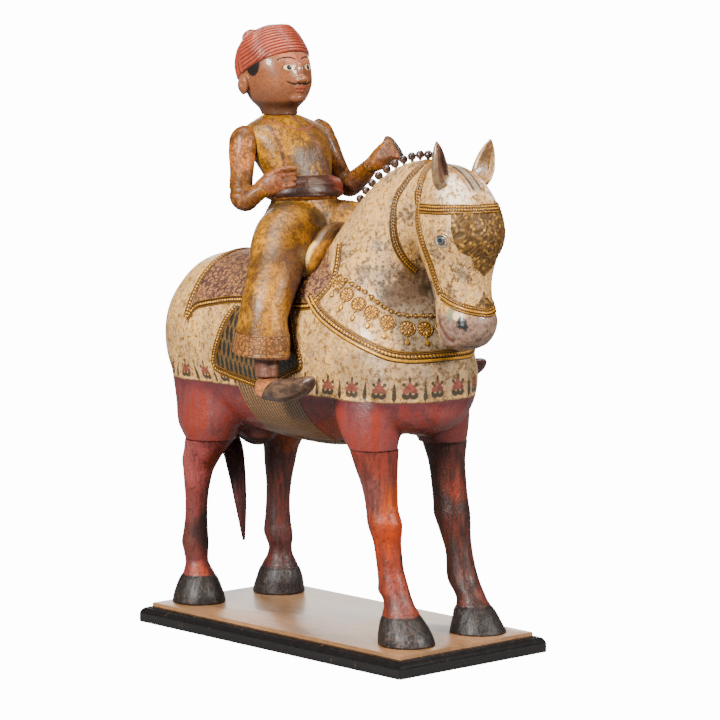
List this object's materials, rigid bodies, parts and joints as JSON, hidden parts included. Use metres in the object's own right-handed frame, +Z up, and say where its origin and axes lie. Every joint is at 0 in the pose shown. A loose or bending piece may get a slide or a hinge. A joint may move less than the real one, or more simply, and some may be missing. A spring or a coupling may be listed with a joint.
{
  "type": "horse and rider carving",
  "caption": "Carved and painted wooden horse on a moulded board, carrying a turbaned rider, one arm across the waist and the other raised.",
  "frame": {"origin": "centre of the plinth's underside", "axes": "+Z up, -Y the way the horse faces, -X the horse's right side"},
  "size_m": [0.5041, 0.8423, 1.1487],
  "materials": {
    "board_brown": "satin",
    "ebonised": "gloss",
    "cream_paint": "satin",
    "red_paint": "gloss",
    "gilt": "gloss",
    "ochre_paint": "gloss",
    "skin_paint": "gloss"
  },
  "bodies": {
    "root": {"plinth_board": "board_brown", "moulding_front": "ebonised", "moulding_rear": "ebonised", "moulding_left": "ebonised", "moulding_right": "ebonised", "horse_body": "cream_paint", "leg_front_left": "red_paint", "leg_front_right": "red_paint", "leg_rear_left": "red_paint", "leg_rear_right": "red_paint", "tail": "red_paint", "ear_left": "cream_paint", "ear_right": "cream_paint", "pommel": "gilt", "rider_body": "ochre_paint", "arm_left": "skin_paint", "arm_right": "skin_paint", "foot_left": "skin_paint", "foot_right": "skin_paint", "rider_head": "skin_paint", "mane_bead_01": "ebonised", "mane_bead_02": "ebonised", "mane_bead_03": "ebonised", "mane_bead_04": "ebonised", "mane_bead_05": "ebonised", "mane_bead_06": "ebonised", "mane_bead_07": "ebonised", "mane_bead_08": "ebonised", "mane_bead_09": "ebonised", "mane_bead_10": "ebonised", "mane_bead_11": "ebonised"}
  },
  "joints": []
}
